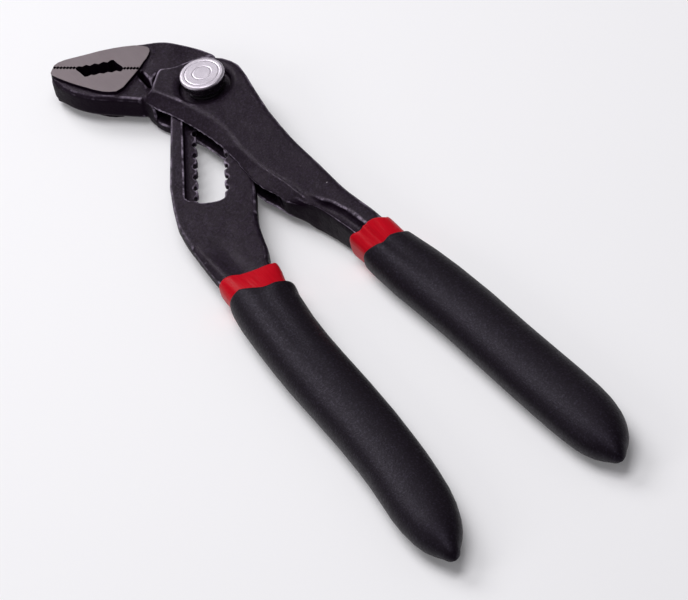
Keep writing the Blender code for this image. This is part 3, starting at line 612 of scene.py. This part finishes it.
LEG_GRIP = (
    (-80.0, 32.1, 9.1, 5.9, 2.7), (-84.0, 32.8, 9.4, 6.2, 2.5), (-90.0, 33.7, 9.6, 6.4, 2.3),
    (-100.0, 35.1, 9.4, 6.5, 2.3), (-110.0, 36.1, 9.4, 6.5, 2.3), (-120.0, 36.8, 9.5, 6.5, 2.3),
    (-135.0, 37.5, 9.5, 6.5, 2.3), (-150.0, 38.4, 9.4, 6.5, 2.3), (-162.0, 39.5, 9.3, 6.5, 2.3),
    (-170.0, 40.4, 9.3, 6.5, 2.3), (-178.0, 41.6, 9.3, 6.5, 2.3), (-186.0, 42.95, 9.2, 6.4, 2.25),
    (-192.0, 44.0, 8.7, 6.2, 2.2), (-198.0, 45.1, 7.6, 5.8, 2.15), (-202.0, 45.8, 6.4, 5.2, 2.1),
    (-205.0, 46.3, 5.0, 4.4, 2.05), (-207.2, 46.7, 3.7, 3.5, 2.0), (-208.6, 46.9, 2.8, 2.8, 2.0),
    (-209.8, 47.1, 2.4, 2.4, 2.0), (-210.9, 47.3, 2.0, 2.0, 2.0), (-211.7, 47.4, 1.3, 1.3, 2.0),
    (-212.0, 47.5, 0.5, 0.5, 2.0))
BOX_GRIP_EDGE = ((-1.0, -1.4), (-0.6, -2.2), (-0.1, -1.5), (0.3, -2.8), (0.6, -1.6), (1.0, 0.8))
LEG_GRIP_EDGE = ((-1.0, -5.4), (-0.6, -5.9), (-0.1, -5.2), (0.3, -3.0), (0.6, -0.9), (0.85, -0.7),
                 (1.0, -0.6))

# Pebbled skin: grains of about 0.6 mm, each with a dull cold glint painted into its colour, over a
# slow unevenness
vinyl, tree, shader, where = new_finish("black_plastisol")
pebbles = noise(tree, where, 0.0006, 3.0, 0.6)
glint = spread(tree, pebbles, 0.0, 1.0, 0.52, 0.72)
uneven = bump(tree, noise(tree, where, 0.012, 2.0), 0.4, 0.0006)
feed(tree, shader, {"Base Color": blend(tree, glint, "#0c060c", "#231e29"),
                    "Roughness": spread(tree, pebbles, 0.56, 0.4, 0.3, 0.7), "IOR": 1.53,
                    "Specular IOR Level": 0.14, "Specular Tint": paint("#e6dafa"),
                    "Normal": bump(tree, pebbles, 0.6, 0.00013, uneven)})


def box_grip_swell(down, share):
    """Two low crests under the front of the grip, over the flanges of the shank."""
    fade = max(0.0, 1.0 - down / 30.0)
    return fade * (0.2 * hump(share, -0.3, 0.4) - 0.45 * hump(share, 0.45, 0.25))


def leg_grip_swell(down, share):
    """The outer flange and a low rise beside it, under the front of the grip."""
    fade = max(0.0, 1.0 - down / 55.0)
    return fade * (0.35 * hump(share, 0.45, 0.35) - 0.7 * hump(share, -0.45, 0.35))


for name, rows, edge, swell, node, body in (
        ("box_black_grip", BOX_GRIP, BOX_GRIP_EDGE, box_grip_swell, "box_sleeve", "box_side"),
        ("leg_black_grip", LEG_GRIP, LEG_GRIP_EDGE, leg_grip_swell, "leg_sleeve", "leg_side")):
    grip = dipped(name, rows, edge, swell, vinyl, body, True)
    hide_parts(node)


# ------------------------------------------------------------------ floor, light and camera
# A pale matt table under a wide overhead softbox, with one behind the jaws and one beside the
# leg. The camera stands beyond the handles, looks down along them and is rolled a little.

paper, tree, shader, _ = new_finish("matt_white_board")
feed(tree, shader, {"Base Color": paint("#e4e3e6"), "Roughness": 0.9,
                    "Emission Color": paint("#f4f3f5"), "Emission Strength": 0.1})
bm = bmesh.new()
bmesh.ops.create_grid(bm, x_segments=1, y_segments=1, size=2500.0,
                      matrix=Matrix.Translation((0.0, 0.0, -0.01)))
floor = put_in_scene("table", new_mesh("table", bm, (paper,)))

LAMP_AIM = Vector((-0.08, 0.02, 0.0))
# Place and size in metres, and power, of each softbox
for name, place, size, power in (("overhead", (-0.15, 0.1, 0.95), 0.6, 4.8),
                                 ("behind", (0.62, 0.12, 0.66), 0.5, 4.6),
                                 ("leg_side", (0.15, 0.8, 0.5), 0.35, 1.0)):
    lamp = bpy.data.lights.new(name, "AREA")
    lamp.size = size
    lamp.energy = power
    holder = put_in_scene(name, lamp)
    holder.location = place
    holder.rotation_euler = (LAMP_AIM - Vector(place)).to_track_quat("-Z", "Y").to_euler()

world = bpy.data.worlds.new("studio")
world.use_nodes = True
feed(world.node_tree, world.node_tree.nodes["Background"],
     {"Color": paint("#f6f5f8"), "Strength": 0.22})
bpy.context.scene.world = world

# The camera's own axes, what it looks at, and the width that it takes in there, in metres
RIGHT = Vector((-0.5127, -0.8344, -0.2023))
UP = Vector((0.4998, -0.4817, 0.7198))
BACK = RIGHT.cross(UP).normalized()
AIM = (Vector((-98.3, 15.3, MID)) + RIGHT * 0.7 - UP * 0.7) * MM
DISTANCE, WIDTH = 5.4, 0.1928
camera = bpy.data.cameras.new("camera")
camera.lens = camera.sensor_width * DISTANCE / WIDTH
holder = put_in_scene("camera", camera)
axes = Matrix((RIGHT, UP, BACK)).transposed().to_4x4()
holder.matrix_world = Matrix.Translation(AIM + BACK * DISTANCE) @ axes
bpy.context.scene.camera = holder
bpy.context.scene.view_settings.view_transform = "Standard"
